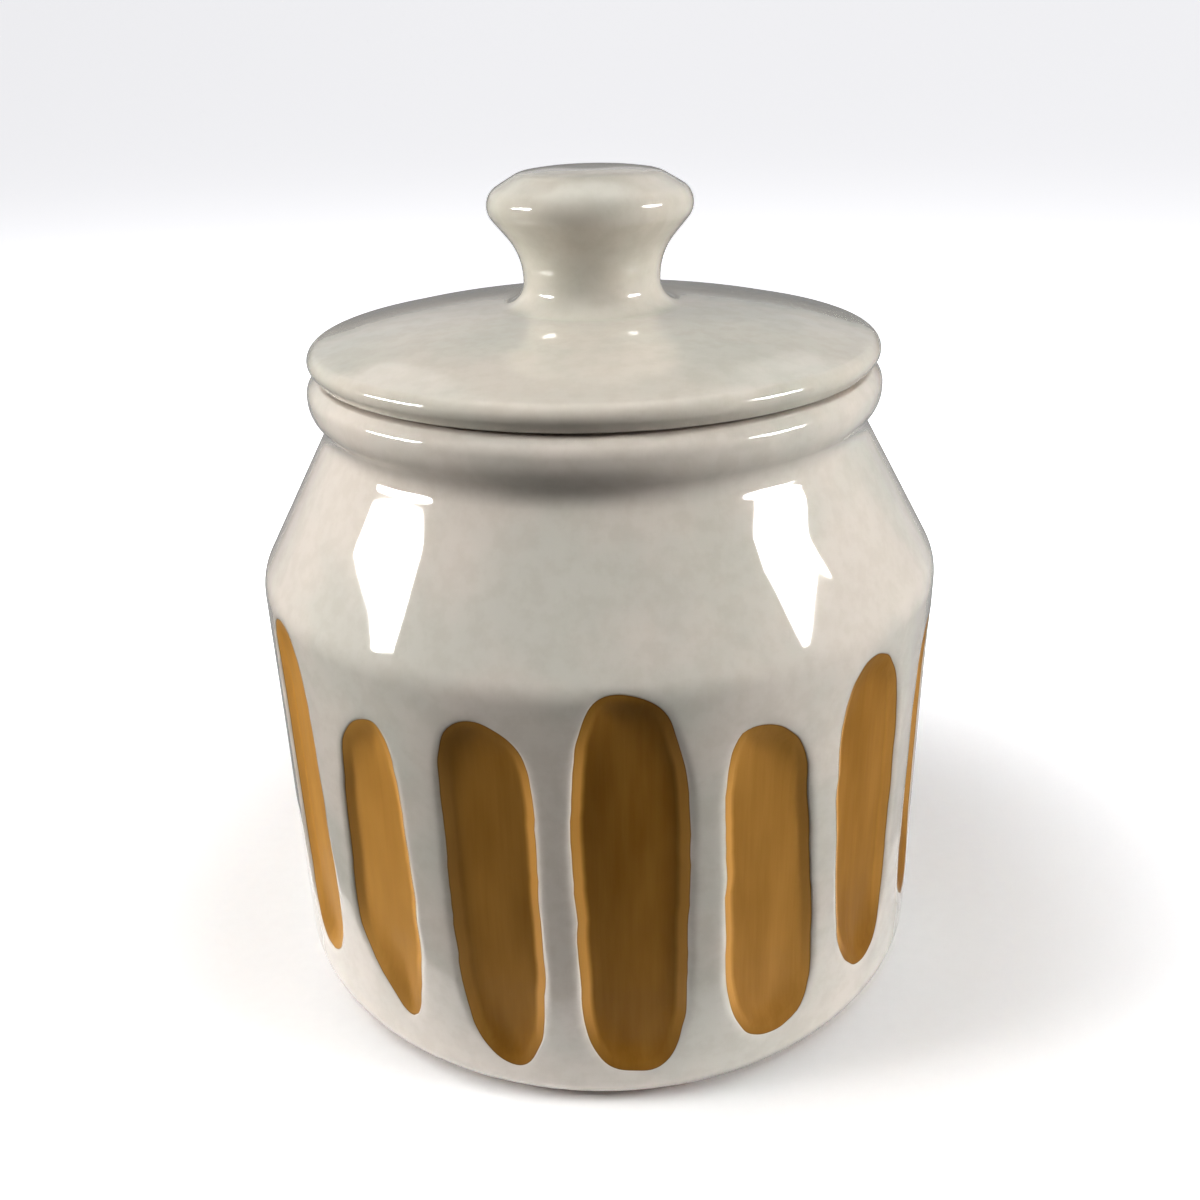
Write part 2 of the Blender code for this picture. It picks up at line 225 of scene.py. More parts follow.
def turned_mesh(name, radius, height, azimuth, attributes):
    """A closed surface from grids of radius, height and azimuth, rows along the outline by columns
    round the axis. Its first and last rows lie on the axis and become one point each."""
    rows, columns = radius.shape
    place = np.stack([radius * np.sin(azimuth), -radius * np.cos(azimuth), height], axis=2)
    poles = np.array([[0, 0, height[0, 0]], [0, 0, height[-1, 0]]])
    points = np.vstack([place[1:-1].reshape(-1, 3), poles]) * MM
    corner = np.arange((rows - 2) * columns).reshape(rows - 2, columns)
    beside = np.roll(corner, -1, axis=1)
    quads = np.stack([corner[:-1], beside[:-1], beside[1:], corner[1:]], axis=2).reshape(-1, 4)
    low, high = (rows - 2) * columns, (rows - 2) * columns + 1
    first = np.stack([np.full(columns, low), beside[0], corner[0]], axis=1)
    last = np.stack([corner[-1], beside[-1], np.full(columns, high)], axis=1)
    mesh = bpy.data.meshes.new(name)
    mesh.from_pydata(points.tolist(), [], quads.tolist() + first.tolist() + last.tolist())
    for title, values in attributes.items():
        ends = [values[0, 0], values[-1, 0]]
        layer = mesh.attributes.new(title, "FLOAT", "POINT")
        layer.data.foreach_set("value", np.append(values[1:-1].ravel(), ends).astype(np.float32))
    mesh.shade_smooth()
    piece = bpy.data.objects.new(name, mesh)
    bpy.context.scene.collection.objects.link(piece)
    return piece


def jar_outline():
    """The jar from the middle of its underside out round the foot, up the wall and shoulder, over
    the bead and the seat, and down inside to the middle of the cavity's floor."""
    lean = math.atan2(SHOULDER_RADIUS - NECK_RADIUS, NECK_HEIGHT - SHOULDER_HEIGHT)
    cavity_radius = SHOULDER_RADIUS - JAR_WALL
    cavity_shoulder = SHOULDER_HEIGHT - JAR_WALL * math.tan(lean / 2)
    cavity_neck = cavity_shoulder + (cavity_radius - MOUTH_RADIUS) / math.tan(lean)
    return rounded_outline(
        [
            (0.0, FOOT_RECESS, 0.0),
            (FOOT_RING_INNER - FOOT_RING_SLANT, FOOT_RECESS, FOOT_RING_ROUNDING),
            (FOOT_RING_INNER, 0.0, FOOT_RING_ROUNDING),
            (FOOT_RADIUS, 0.0, HEEL_ROUNDING),
            (SHOULDER_RADIUS, SHOULDER_HEIGHT, SHOULDER_ROUNDING),
            (NECK_RADIUS, NECK_HEIGHT, NECK_ROUNDING),
            (BEAD_RADIUS, NECK_HEIGHT + BEAD_SWELL, 8.0),
            (BEAD_RADIUS, SEAT_HEIGHT - BEAD_TURN, 6.0),
            (BEAD_RADIUS - SEAT_BEVEL, SEAT_HEIGHT - SEAT_BEVEL_DROP, 1.4),
            (BEAD_RADIUS - SEAT_EDGE, SEAT_HEIGHT, 0.4),
            (MOUTH_RADIUS, SEAT_HEIGHT, MOUTH_ROUNDING),
            (MOUTH_RADIUS, cavity_neck, CAVITY_ROUNDING),
            (cavity_radius, cavity_shoulder, CAVITY_ROUNDING),
            (cavity_radius, CAVITY_FLOOR, CAVITY_FLOOR_ROUNDING),
            (0.0, CAVITY_FLOOR, 0.0),
        ]
    )


def jar_density(radius, height):
    """Rows wanted in each millimetre: many at the flutes' ends, some along their sides, some on the
    outside of the slope and the neck, where they keep the mirrored lights straight, and few elsewhere."""
    narrowing = 0.56
    middle = SHOULDER_RADIUS - JAR_WALL / 2
    outside = radius > middle
    feet = outside & (height > FEET[0]) & (height < FEET[1])
    heads = outside & (height > HEADS[0]) & (height < HEADS[1])
    sides = outside & (height >= FEET[1]) & (height <= HEADS[0])
    slope = (height >= HEADS[1]) & (radius > middle - narrowing * (height - SHOULDER_HEIGHT))
    return np.select([feet | heads, sides, slope], [1.3, 0.55, 0.75], 0.06)


def flute_columns(left, right, low_side, high_side):
    """Columns of one flute's cell as millimetres round the wall, one line for each row: even steps
    over the lands, close steps across each lip, even steps over the floor."""
    close = np.array([-1.9, -1.2, -0.7, -0.3, 0.0, 0.4, 1.0, 1.6, 2.1, 2.7])
    lands = np.minimum(left - low_side, high_side - right)
    squeeze = np.minimum(1, 0.9 * lands / LIP_OUTSIDE)[:, None]
    near = np.where(close < 0, close * squeeze, close)
    left_lip = left[:, None] + near
    right_lip = right[:, None] - near[:, ::-1]
    floor = np.linspace(left_lip[:, -1], right_lip[:, 0], 10, axis=1)[:, 1:-1]
    land = np.stack([low_side, (low_side + left_lip[:, 0]) / 2], axis=1)
    last = ((right_lip[:, -1] + high_side) / 2)[:, None]
    spare = (right_lip[:, -1:] + last) / 2
    return np.concatenate([land, left_lip, floor, right_lip, spare, last], axis=1)


def carved_depth(outside, ramp):
    """How deep the clay is cut at a distance outside a flute's edge, and how steep the cut is there,
    from 0 to 1. The slope grows gently over the lip, holds down the side and ends in a tight hollow
    at the floor, which dishes a little more. Where ramp nears 1, at the flute's ends, the tool came
    in and out of the clay slowly, so most of that side gives way to one long S."""
    hollow_width = 0.9
    across = np.linspace(LIP_OUTSIDE, -LIP_INSIDE, 200)
    growing = np.clip((LIP_OUTSIDE - across) / LIP_OUTSIDE, 0, 1)
    ending = np.clip((across + LIP_INSIDE) / hollow_width, 0, 1)
    slope = growing**2 * (3 - 2 * growing) * ending**2 * (3 - 2 * ending)
    side = np.interp(-outside, -across, np.cumsum(slope) / slope.sum())
    share = np.clip((LIP_OUTSIDE - outside) / (LIP_OUTSIDE + CARVE_REACH), 0, 1)
    drawn_out = share * share * (3 - 2 * share)
    dish = np.clip((-LIP_INSIDE / 2 - outside) / (CARVE_REACH - LIP_INSIDE / 2), 0, 1)
    depth = CARVE_DEPTH * (side + RAMP_SHARE * ramp * (drawn_out - side)) + DISH_DEPTH * dish * (2 - dish)
    return depth, np.interp(-outside, -across, slope, 0, 0) * (1 - RAMP_SHARE * ramp)


def carved_jar():
    """The jar's grids. Columns follow the flutes' edges up the wall, and each point's distance to
    its flute's edge sets how deep it is sunk along the wall's normal. The iron's lightness grows where
    the cut is steep, partly as the iron thins and partly as a painted sheen, and falls towards the foot.
    A swell of under a tenth of a millimetre makes the wall a little less than round."""
    row_radius, row_height = spaced_rows(jar_outline(), jar_density, JAR_ROWS_EACH_TURN, JAR_ROWS)
    flutes = all_flutes()
    edges = [flute_outline(flute, number) for number, flute in enumerate(flutes)]
    sides = []
    for flute, edge in zip(flutes, edges):
        centre = math.radians(flute[AZIMUTH]) * SHOULDER_RADIUS
        least = LEAST_HALF_WIDTH * math.radians(flute[WIDTH]) * SHOULDER_RADIUS
        top, foot = edge[1].argmax(), edge[1].argmin()
        order = np.roll(np.arange(edge.shape[1]), -foot)
        split = (top - foot) % edge.shape[1]
        one, other = edge[:, order[: split + 1]], edge[:, order[split:][::-1]]
        right, left = (one, other) if one[0].mean() > other[0].mean() else (other, one)
        left_side = np.interp(row_height, np.maximum.accumulate(left[1]), left[0])
        right_side = np.interp(row_height, np.maximum.accumulate(right[1]), right[0])
        sides.append((np.minimum(left_side, centre - least), np.maximum(right_side, centre + least)))
    around_jar = 2 * np.pi * SHOULDER_RADIUS
    columns = []
    for number, (left, right) in enumerate(sides):
        before = sides[number - 1][1] - (around_jar if number == 0 else 0)
        after = sides[(number + 1) % len(sides)][0] + (around_jar if number + 1 == len(sides) else 0)
        columns.append(flute_columns(left, right, (before + left) / 2, (right + after) / 2))
    around = np.concatenate(columns, axis=1)
    height = np.repeat(row_height[:, None], around.shape[1], axis=1)
    radius = np.repeat(row_radius[:, None], around.shape[1], axis=1)
    carve = np.full(around.shape, CARVE_REACH)
    reached = (row_height > CARVED_HEIGHTS[0]) & (row_height < CARVED_HEIGHTS[1])
    wall = np.nonzero(reached & (row_radius > SHOULDER_RADIUS - JAR_WALL))[0]
    for number, edge in enumerate(edges):
        cell = slice(number * FLUTE_COLUMNS, (number + 1) * FLUTE_COLUMNS)
        gap = distance_to(edge, around[wall, cell].ravel(), height[wall, cell].ravel())
        carve[wall, cell] = np.clip(gap.reshape(len(wall), -1), -CARVE_REACH, CARVE_REACH)
    of_each = (FOOT, HEAD, IRON_LIGHTNESS)
    foot, head, lightness = (np.repeat(flutes[:, item], FLUTE_COLUMNS)[None] for item in of_each)
    ramp = np.clip(1 - np.minimum(height - foot, head - height) / RAMP_LENGTH, 0, 1)
    depth, steepness = carved_depth(carve, ramp * ramp * (3 - 2 * ramp))
    near_foot = np.clip(1 - (height - foot) / FOOT_DARKENING_LENGTH, 0, 1) ** 2
    iron_lightness = lightness + THIN_AND_SHEEN_ON_SIDES * steepness - FOOT_DARKENING_SHARE * near_foot
    heading = np.arctan2(np.gradient(row_height), np.gradient(row_radius))[:, None]
    radius = radius - depth * np.sin(heading)
    height = height + depth * np.cos(heading)
    azimuth = around / SHOULDER_RADIUS
    swell = 0.05 * np.sin(3 * azimuth + 0.05 * height) + 0.04 * np.sin(7 * azimuth - 0.09 * height + 1)
    radius = radius + np.where(radius > FOOT_RING_INNER / 2, swell, 0)
    return radius, height, azimuth, {"carve": carve, "iron_lightness": iron_lightness}


class Wire:
    """A socket of a finish. Sums, differences, products and powers of it add their Math nodes."""

    def __init__(self, finish, socket):
        self.finish = finish
        self.socket = socket

    def maths(self, operation, *values):
        return self.finish.node("ShaderNodeMath", {"operation": operation}, dict(enumerate(values)))

    def __add__(self, other):
        return self.maths("ADD", self, other)

    __radd__ = __add__

    def __sub__(self, other):
        return self.maths("SUBTRACT", self, other)

    def __rsub__(self, other):
        return self.maths("SUBTRACT", other, self)

    def __mul__(self, other):
        return self.maths("MULTIPLY", self, other)

    __rmul__ = __mul__

    def __pow__(self, other):
        return self.maths("POWER", self, other)


class Finish:
    """The nodes of a material or of the world, with one method that adds a node and a few that say
    what glazing needs."""

    def __init__(self, owner):
        owner.use_nodes = True
        self.owner = owner
        self.tree = owner.node_tree
        self.tree.nodes.clear()

    def node(self, kind, settings=None, inputs=None, output=0):
        """Adds a node, sets its settings, then its sockets by name or number; gives one output."""
        made = self.tree.nodes.new(kind)
        for name, value in (settings or {}).items():
            setattr(made, name, value)
        for name, value in (inputs or {}).items():
            if isinstance(value, Wire):
                self.tree.links.new(value.socket, made.inputs[name])
            else:
                made.inputs[name].default_value = value
        return Wire(self, made.outputs[output])

    def place(self):
        return self.node("ShaderNodeTexCoord", output="Object")

    def parts(self, vector):
        """The three numbers of a vector."""
        made = self.node("ShaderNodeSeparateXYZ", {}, {0: vector}).socket.node
        return [Wire(self, socket) for socket in made.outputs]

    def stretched(self, vector, scale):
        return self.node("ShaderNodeMapping", {}, {"Vector": vector, "Scale": scale})

    def noise(self, vector, scale, detail=2.0, roughness=0.5):
        settings = {"Vector": vector, "Scale": scale, "Detail": detail, "Roughness": roughness}
        return self.node("ShaderNodeTexNoise", {}, settings)

    def ease(self, value, low, high):
        """An S from 0 at low to 1 at high, level beyond both. It falls where low is the greater."""
        settings = {"interpolation_type": "SMOOTHSTEP"}
        low, high, start, end = (low, high, 0.0, 1.0) if low < high else (high, low, 1.0, 0.0)
        inputs = {"Value": value, "From Min": low, "From Max": high, "To Min": start, "To Max": end}
        return self.node("ShaderNodeMapRange", settings, inputs)

    def blend(self, factor, first, second, mode="MIX"):
        """Colour first where factor is 0, and second laid over it where it is 1."""
        settings = {"data_type": "RGBA", "blend_type": mode}
        colours = [value if isinstance(value, Wire) else (*value, 1.0) for value in (first, second)]
        return self.node("ShaderNodeMix", settings, {0: factor, 6: colours[0], 7: colours[1]}, 2)

    def bump(self, height):
        """The normal of a surface raised by a height in metres."""
        return self.node("ShaderNodeBump", {}, {"Strength": 1.0, "Distance": 1.0, "Height": height})

    def surface(self, fixed, **linked):
        """Ends the material in one Principled shader."""
        inputs = {name.replace("_", " "): value for name, value in linked.items()}
        shader = self.node("ShaderNodeBsdfPrincipled", {}, {**fixed, **inputs})
        end = self.tree.nodes.new("ShaderNodeOutputMaterial")
        self.tree.links.new(shader.socket, end.inputs["Surface"])
        return self.owner


BODY_IVORY = (0.665, 0.612, 0.555)
THICKER = (0.90, 0.94, 0.94)
MOTTLED = (0.955, 0.95, 0.94)
PINHOLE = (0.10, 0.06, 0.035)
# The bare clay is darker than its own colour: painted shade where the foot meets the floor and in the
# seam.
BARE_CLAY_AND_SHADE = (0.22, 0.12, 0.075)
OPEN_CLAY = (0.33, 0.20, 0.13)
IRON_DEEP = (0.20, 0.088, 0.004)
IRON_THIN = (0.56, 0.31, 0.085)
# A dark line along the iron's edge: partly the iron's own edge, partly painted shade under the ivory's
# lip.
IRON_EDGE_AND_SHADE_LINE = (0.07, 0.030, 0.008)


def ivory_glaze(finish, place, ivory):
    """Colour, roughness and height in metres of the ivory glaze: cloudy where it lies thicker, finely
    mottled, faintly dimpled, and pricked by a few pinholes, which are the near points of a sparse cell
    pattern. The scales of the noises are in blotches to the metre."""
    cloud = finish.noise(place, 34.0, 3.0)
    fine = finish.noise(place, 420.0, 2.0)
    colour = finish.blend(finish.ease(cloud, 0.40, 0.68), ivory, THICKER, "MULTIPLY")
    mottle = finish.ease(finish.noise(place, 240.0, 3.0, 0.6), 0.38, 0.66)
    colour = finish.blend(mottle, colour, MOTTLED, "MULTIPLY")
    cells = {"Vector": place, "Scale": 46.0, "Randomness": 1.0}
    cell = finish.node("ShaderNodeTexVoronoi", {"feature": "F1"}, cells, "Distance")
    chosen = finish.ease(finish.noise(place, 19.0, 0.0), 0.60, 0.61)
    pinhole = finish.ease(cell, 0.016, 0.010) * chosen
    colour = finish.blend(pinhole * 0.85, colour, PINHOLE)
    roughness = 0.04 + 0.03 * fine + 0.5 * pinhole
    dimples = finish.noise(place, 150.0, 1.0)
    height = dimples * 0.000012 - pinhole * 0.0001
    return colour, roughness, height


def bare_clay_and_shade(finish, place):
    """Colour and height of unglazed stoneware, which is sandy and a little redder where it is open. Its
    colour is painted darker than the clay's own, as shade where the foot meets the floor and in the seam.
    """
    sand = finish.noise(place, 900.0, 3.0, 0.7)
    colour = finish.blend(finish.ease(sand, 0.35, 0.7), BARE_CLAY_AND_SHADE, OPEN_CLAY)
    return colour, sand * 0.00006


jar_body_ware = turned_mesh("jar_body_ware", *carved_jar())

jar_finish = Finish(bpy.data.materials.new("jar_ivory_and_iron"))
place = jar_finish.place()
east, north, up = jar_finish.parts(place)
from_axis = (east * east + north * north) ** 0.5
edge = jar_finish.node("ShaderNodeAttribute", {"attribute_name": "carve"}, output="Fac")
iron_lightness = jar_finish.node("ShaderNodeAttribute", {"attribute_name": "iron_lightness"}, output="Fac")
ivory, ivory_roughness, ivory_height = ivory_glaze(jar_finish, place, BODY_IVORY)
clay, clay_height = bare_clay_and_shade(jar_finish, place)

# The iron is brushed down each flute in thin coats: fine upright streaks over slow blotches, darker
# towards the foot and lighter on the steep sides, which is partly the iron thinning and partly a painted
# sheen of the side lights. Where it meets the ivory a dark line is painted, partly the iron's own edge
# and partly painted shade under the ivory's lip.
streaks = jar_finish.noise(jar_finish.stretched(place, (1.0, 1.0, 0.05)), 820.0, 3.0, 0.6)
coats = jar_finish.noise(jar_finish.stretched(place, (1.0, 1.0, 0.25)), 130.0, 2.0)
lightness = iron_lightness + 0.16 * (streaks - 0.5) + 0.5 * (coats - 0.5)
iron = jar_finish.blend(jar_finish.ease(lightness, -0.1, 1.1), IRON_DEEP, IRON_THIN)
iron = jar_finish.blend(jar_finish.ease(edge, -0.3, -0.05) * 0.45, iron, IRON_EDGE_AND_SHADE_LINE)

# The iron is matter than the ivory and barely coated, and it lies a little lower. The foot is bare
# below 2 mm and outside its recess, and its clay is painted darker than its own colour, as painted shade
# where it meets the floor.
inside_edge = jar_finish.ease(edge, 0.08, -0.08)
colour = jar_finish.blend(inside_edge, ivory, iron)
on_foot = jar_finish.ease(up, 0.0021, 0.0016) * jar_finish.ease(from_axis, 0.0610, 0.0617)
colour = jar_finish.blend(on_foot, colour, clay)
roughness = ivory_roughness + inside_edge * (0.36 + 0.12 * streaks) + on_foot * 0.7
height = ivory_height + jar_finish.ease(edge, -0.2, 0.3) * 0.00012 + inside_edge * streaks * 0.00003
gloss = (1 - 0.91 * inside_edge) * (1 - on_foot)
height = height + on_foot * clay_height
normal = jar_finish.bump(height)
shine = {"IOR": 1.52, "Specular IOR Level": 0.1, "Coat IOR": 1.52, "Coat Roughness": 0.04}
linked = {"Base_Color": colour, "Roughness": roughness, "Coat_Weight": gloss, "Normal": normal}
jar_body_ware.data.materials.append(jar_finish.surface(shine, **linked))
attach(jar_body_ware, "jar")
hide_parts("jar_body")

# Lid. Turned upside down with its flange, its knob cast hollow and luted on with a smooth fillet, then
# glazed all over, except that its seat and the outside of the flange are wiped bare, so that it can
# be fired on the jar.
LID_RADIUS = 64.5
LID_BOTTOM = 148.3
LID_EDGE_HEIGHT = 152.0
LID_PILLOW = 2.6
LID_DOME = 6.4
LID_SQUARENESS = 6.3
LID_EDGE_SLANT = 1.3
LID_EDGE_TOP = 5.6
LID_EDGE_WIDEST = 3.1
LID_BEVEL = 1.8
LID_BEVEL_RISE = 0.3
LID_THICKNESS = 7.0
FLANGE_OUTER = 54.7
FLANGE_INNER = 49.7
FLANGE_FOOT = 138.0
FLANGE_ROUNDING = 1.6
KNOB_TOP = 189.3
KNOB_RADIUS = 24.4
KNOB_RIM_HEIGHT = 182.7
KNOB_CROWN_RADIUS = 9.0
KNOB_CROWN_ROUNDING = 45.0
KNOB_SLOPE = 8.9
KNOB_SLOPE_DROP = 0.9
KNOB_CORNER_OUT = 0.6
KNOB_CORNER_UP = 0.2
WAIST_RADIUS = 15.3
WAIST_HEIGHT = 171.3
WAIST_ROUNDING = 15.0
FILLET = 5.4
CROWN_INNER = 27.0
CROWN_MARGIN = 7.5
BORE_RADIUS = 9.7
HOLLOW_RADIUS = 17.2
HOLLOW_TOP = 183.7
LID_ROWS = 170
LID_ROWS_EACH_TURN = 60
LID_COLUMNS = 288
LID_IVORY = (0.62, 0.575, 0.51)


def crown_height(radius):
    """Height of the lid's top at a radius: a pillow, level until it drops at the edge, on a dome."""
    share = np.clip(np.asarray(radius, float) / LID_RADIUS, 0, 1)
    pillow = LID_PILLOW * np.sqrt(1 - share**LID_SQUARENESS)
    return LID_EDGE_HEIGHT + pillow + LID_DOME * (1 - share**2)


def lid_outline():
    """The lid from the top of its knob down over the crown and round the edge, then along the seat,
    round the flange, and up the bore to the top of the hollow in the knob. The corner that is rounded
    into the knob's rim lies a little out from the rim and above it."""
    crown_radius = np.linspace(CROWN_INNER, LID_RADIUS - CROWN_MARGIN, 40)
    crown_corners = zip(crown_radius, crown_height(crown_radius))
    crown = [(radius, height, 0.0) for radius, height in crown_corners]
    return rounded_outline(
        [
            (0.0, KNOB_TOP, 0.0),
            (KNOB_CROWN_RADIUS, KNOB_TOP, KNOB_CROWN_ROUNDING),
            (KNOB_RADIUS - KNOB_SLOPE, KNOB_TOP - KNOB_SLOPE_DROP, 7.4),
            (KNOB_RADIUS + KNOB_CORNER_OUT, KNOB_RIM_HEIGHT + KNOB_CORNER_UP, 4.6),
            (WAIST_RADIUS, WAIST_HEIGHT, WAIST_ROUNDING),
            (WAIST_RADIUS, float(crown_height(WAIST_RADIUS)), FILLET),
            *crown,
            (LID_RADIUS - LID_EDGE_SLANT, LID_BOTTOM + LID_EDGE_TOP, 4.0),
            (LID_RADIUS, LID_BOTTOM + LID_EDGE_WIDEST, 5.0),
            (LID_RADIUS - LID_BEVEL, LID_BOTTOM + LID_BEVEL_RISE, 1.2),
            (LID_RADIUS - SEAT_EDGE, LID_BOTTOM, 0.4),
            (FLANGE_OUTER, LID_BOTTOM, 0.4),
            (FLANGE_OUTER, FLANGE_FOOT, FLANGE_ROUNDING),
            (FLANGE_INNER, FLANGE_FOOT, FLANGE_ROUNDING),
            (FLANGE_INNER, float(crown_height(FLANGE_INNER)) - LID_THICKNESS, FLANGE_ROUNDING),
            (BORE_RADIUS, float(crown_height(BORE_RADIUS)) - LID_THICKNESS, FLANGE_ROUNDING),
            (BORE_RADIUS, WAIST_HEIGHT, 5.6),
            (HOLLOW_RADIUS, HOLLOW_TOP, 3.0),
            (0.0, HOLLOW_TOP, 0.0),
        ]
    )


def lid_density(radius, height):
    """Rows wanted in each millimetre: more on the knob and the crown than underneath."""
    return np.where(height > LID_EDGE_HEIGHT, 0.7, 0.25)


row_radius, row_height = spaced_rows(lid_outline()[::-1], lid_density, LID_ROWS_EACH_TURN, LID_ROWS)
azimuth = np.tile(np.linspace(0, 2 * np.pi, LID_COLUMNS, endpoint=False), (LID_ROWS, 1))
height = np.repeat(row_height[:, None], LID_COLUMNS, axis=1)
swell = 0.03 * np.sin(3 * azimuth + 0.4) + 0.02 * np.sin(5 * azimuth + 2.0)
radius = row_radius[:, None] * (1 + swell / LID_RADIUS)
lid_ware = turned_mesh("lid_ware", radius, height, azimuth, {})

lid_finish = Finish(bpy.data.materials.new("lid_ivory"))
place = lid_finish.place()
east, north, up = lid_finish.parts(place)
from_axis = (east * east + north * north) ** 0.5
ivory, ivory_roughness, ivory_height = ivory_glaze(lid_finish, place, LID_IVORY)
clay, clay_height = bare_clay_and_shade(lid_finish, place)
# The bare seat takes the same darkened clay, so painted shade darkens the seam between lid and jar.
on_seat = lid_finish.ease(up, 0.1487, 0.1484) * lid_finish.ease(from_axis, 0.0537, 0.0540)
colour = lid_finish.blend(on_seat, ivory, clay)
height = ivory_height + on_seat * clay_height
normal = lid_finish.bump(height)
roughness = ivory_roughness + on_seat * 0.7
linked = {"Base_Color": colour, "Roughness": roughness, "Coat_Weight": 1 - on_seat, "Normal": normal}
lid_ware.data.materials.append(lid_finish.surface(shine, **linked))
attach(lid_ware, "lid")
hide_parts("lid")

# Studio. A round pale cove, whose floor turns up into its wall and closes far overhead. Only a disc of
# its floor lights the jar and is mirrored in it. The rest is there for the camera alone, and round it
# is a dim room, so that the front of the jar stays dark.
DISC_RADIUS = 112.0
COVE_HOLE = 0.1
COVE_RADIUS = 3200.0
COVE_HEIGHT = 3000.0
COVE_BEND = 1200.0
COVE_COLUMNS = 72
GLOW_STARTS = 0.07
GLOW_FULL = 0.28
PAPER_DIM = (0.90, 0.90, 0.91)
PAPER_PALE = (0.93, 0.93, 0.94)
PAPER_GLOW = (0.82, 0.82, 0.84)


def cove_part(name, corners, count):
    """A turned sheet through (radius, height, rounding) corners, open where it ends off the axis."""
    outline = rounded_outline(corners)
    walked = np.concatenate([[0], np.cumsum(np.hypot(*np.diff(outline.T)))])
    step = np.linspace(0, walked[-1], count)
    row_radius, row_height = (np.interp(step, walked, line)[:, None] for line in outline.T)
    azimuth = np.linspace(0, 2 * np.pi, COVE_COLUMNS, endpoint=False)
    place = [row_radius * np.sin(azimuth), row_radius * np.cos(azimuth), row_height + 0 * azimuth]
    points = np.stack(place, axis=2).reshape(-1, 3) * MM
    corner = np.arange(count * COVE_COLUMNS).reshape(count, COVE_COLUMNS)
    beside = np.roll(corner, -1, axis=1)
    quads = np.stack([corner[:-1], corner[1:], beside[1:], beside[:-1]], axis=2).reshape(-1, 4)
    mesh = bpy.data.meshes.new(name)
    mesh.from_pydata(points.tolist(), [], quads.tolist())
    mesh.shade_smooth()
    part = bpy.data.objects.new(name, mesh)
    bpy.context.scene.collection.objects.link(part)
    return part


disc = cove_part("floor_disc", [(COVE_HOLE, 0.0, 0.0), (DISC_RADIUS, 0.0, 0.0)], 4)
cove = cove_part(
    "cove",
    [
        (DISC_RADIUS, 0.0, 0.0),
        (COVE_RADIUS, 0.0, COVE_BEND),
        (COVE_RADIUS, COVE_HEIGHT, COVE_BEND),
        (COVE_HOLE, COVE_HEIGHT, 0.0),
    ],
    60,
)
cove.visible_diffuse = False
cove.visible_glossy = False
cove.visible_shadow = False

# Near the jar hardly anything but the lights brightens the paper. Farther out it glows, up to
# nearly white.
paper = Finish(bpy.data.materials.new("cove_paper"))
place = paper.place()
east, north, up = paper.parts(place)
away = (east * east + north * north) ** 0.5
grain = paper.noise(place, 300.0, 2.0)
shade = paper.blend(grain, PAPER_DIM, PAPER_PALE)
glow = paper.blend(paper.ease(away, GLOW_STARTS, GLOW_FULL), (0.0, 0.0, 0.0), PAPER_GLOW)
fixed = {"Roughness": 0.6, "Emission Strength": 1.0}
paper = paper.surface(fixed, Base_Color=shade, Emission_Color=glow)
disc.data.materials.append(paper)
cove.data.materials.append(paper)


def panel(name, azimuth, elevation, distance, size, brightness, colour, spread, aim):
    """A rectangular area light of a width and height that faces the point aim. Azimuth runs from the
    front towards +X, brightness times pi is the light that it sends out over each square metre of its
    face, and spread is the angle in degrees of the cone that a grid over it leaves."""
    light = bpy.data.lights.new(name, "AREA")
    light.shape = "RECTANGLE"
    light.size, light.size_y = size
    light.energy = brightness * math.pi * size[0] * size[1]
    light.color = colour
    light.spread = math.radians(spread)
    lamp = bpy.data.objects.new(name, light)
    lamp.matrix_world = (
        Matrix.Translation(aim)
        @ Matrix.Rotation(math.radians(azimuth), 4, "Z")
        @ Matrix.Rotation(math.radians(90 - elevation), 4, "X")
        @ Matrix.Translation((0, 0, distance))
    )
    lamp.visible_camera = False
    bpy.context.scene.collection.objects.link(lamp)
    return lamp


def flag(name, lamp, corners):
    """A black card 10 mm in front of a light, with corners in metres across and up its face."""
    mesh = bpy.data.meshes.new(name)
    mesh.from_pydata([(*corner, -0.01) for corner in corners], [], [range(len(corners))])
    mesh.transform(lamp.matrix_world)
    mesh.materials.append(card)
    card_object = bpy.data.objects.new(name, mesh)
    card_object.visible_camera = False
    bpy.context.scene.collection.objects.link(card_object)


# Two softboxes, one on each side. Black cards in front of them leave the slanted bright shapes that
# the shoulder mirrors.
MIDDLE = (0.0, 0.0, 0.1)
NARROW = 60.0
card = Finish(bpy.data.materials.new("black_card"))
card = card.surface({"Base Color": (0.01, 0.01, 0.01, 1.0), "Roughness": 0.9})
left = panel("left_softbox", -83.5, 18.5, 1.0, (0.50, 0.26), 6.4, (1.0, 0.99, 0.96), NARROW, MIDDLE)
right = panel("right_softbox", 78.5, 19.5, 1.0, (0.60, 0.33), 6.2, (1.0, 0.99, 0.97), NARROW, MIDDLE)
left_above = [(-0.30, -0.054), (-0.21, -0.02), (0.16, 0.12), (0.30, 0.173)]
flag("left_flag", left, [*left_above, (0.30, 0.2), (-0.30, 0.2)])
flag("left_side_flag", left, [(-0.30, -0.2), (-0.205, -0.2), (-0.205, -0.02), (-0.30, -0.02)])
left_below = [(0.30, 0.03), (0.23, 0.01), (0.15, -0.035), (0.04, -0.032), (-0.19, -0.072), (-0.30, -0.09)]
flag("left_low_flag", left, [(-0.30, -0.2), (0.30, -0.2), *left_below])
right_above = [(-0.22, 0.165), (-0.10, 0.12), (0.12, 0.04), (0.125, 0.03), (0.045, 0.018), (0.09, -0.05)]
flag("right_flag", right, [(-0.35, 0.2), *right_above, (0.35, -0.05), (0.35, 0.2)])
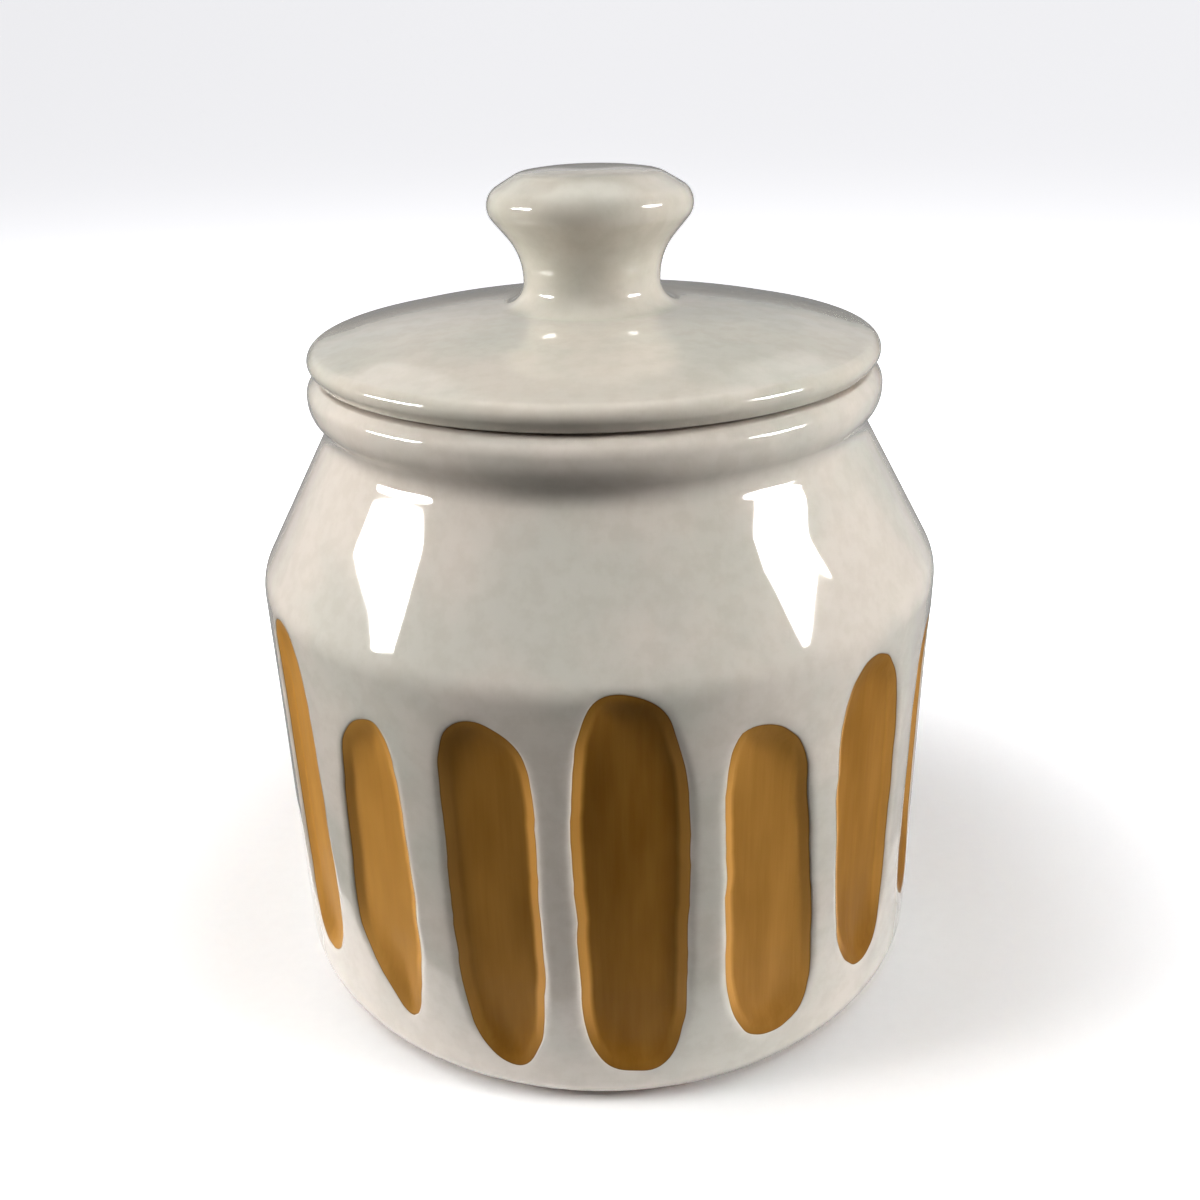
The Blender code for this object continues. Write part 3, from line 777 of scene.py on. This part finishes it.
right_below = [(0.09, -0.05), (0.02, -0.012), (-0.18, -0.012), (-0.22, 0.0), (-0.29, 0.12), (-0.35, 0.12)]
flag("right_low_flag", right, [(-0.35, -0.2), (0.35, -0.2), (0.35, -0.05), *right_below])

# Wide panels. Two hang overhead, behind and before the jar. The high and low ones fill in the sides
# with matt light alone, and two faint ones stand behind.
WHITE = (1.0, 1.0, 1.0)
WIDE = 180.0
OVERHEAD_SIZE = (1.2, 0.5)
SIDE_DISTANCE = 1.2
SIDE_SIZE = (0.8, 0.5)
panel("overhead", 0.0, 90.0, 1.0, OVERHEAD_SIZE, 1.0, WHITE, WIDE, (0.0, 0.25, 0.1))
panel("overhead_front", 0.0, 90.0, 1.0, OVERHEAD_SIZE, 0.75, WHITE, WIDE, (0.0, -0.35, 0.1))
# The columns: name, azimuth, elevation, brightness and whether it is mirrored.
SIDE_PANELS = [
    ("high_left", -90.0, 48.0, 4.0, False),
    ("high_right", 80.0, 48.0, 1.9, False),
    ("low_right", 65.0, 10.0, 6.0, False),
    ("low_left", -90.0, 10.0, 7.0, False),
    ("back_left", -140.0, 40.0, 0.4, True),
    ("back_right", 140.0, 40.0, 0.4, True),
]
for name, azimuth, elevation, brightness, mirrored in SIDE_PANELS:
    lamp = panel(name, azimuth, elevation, SIDE_DISTANCE, SIDE_SIZE, brightness, WHITE, WIDE, MIDDLE)
    lamp.visible_glossy = mirrored

# The room. Its floor throws light up from the right and from behind, and behind the jar stands a dim
# wall, paler in a band above its foot. The rest is black.
ROOM_FLOOR = 0.31
ROOM_WALL = 0.27
ROOM_BAND = 0.25
world = bpy.data.worlds.new("room")
room = Finish(world)
east, north, up = room.parts(room.node("ShaderNodeTexCoord", output="Generated"))
below = room.ease(up, 0.02, -0.15)
behind = room.ease(north, 0.25, 0.85)
bounce = room.ease(east, 0.25, 0.85) * ROOM_FLOOR + behind * ROOM_FLOOR
band = room.ease(up, 0.07, 0.16) * room.ease(up, 0.7, 0.45)
wall = behind * (room.ease(up, 0.5, 0.2) * ROOM_WALL + band * ROOM_BAND)
strength = below * bounce + (1 - below) * wall
sky = room.node("ShaderNodeBackground", {}, {"Color": (*WHITE, 1.0), "Strength": strength})
end = room.tree.nodes.new("ShaderNodeOutputWorld")
room.tree.links.new(sky.socket, end.inputs["Surface"])
bpy.context.scene.world = world

# The picture's contrast.
bpy.context.scene.view_settings.view_transform = "Standard"
bpy.context.scene.view_settings.gamma = 0.84

# Camera. A phone held 27 cm in front of the jar's axis and a little above the knob, tilted down by
# 24.6 degrees and very slightly rolled.
CAMERA_PLACE = (0.0, -0.27455, 0.21246)
CAMERA_TURN = -0.0016
CAMERA_TILT = math.radians(65.36)
CAMERA_ROLL = -0.0252
lens = bpy.data.cameras.new("photograph")
lens.sensor_width = 36.0
lens.lens = 36.15
lens.shift_x = -0.00175
lens.clip_start = 0.01
camera = bpy.data.objects.new("photograph", lens)
camera.matrix_world = (
    Matrix.Translation(CAMERA_PLACE)
    @ Matrix.Rotation(CAMERA_TURN, 4, "Z")
    @ Matrix.Rotation(CAMERA_TILT, 4, "X")
    @ Matrix.Rotation(CAMERA_ROLL, 4, "Z")
)
bpy.context.scene.collection.objects.link(camera)
bpy.context.scene.camera = camera
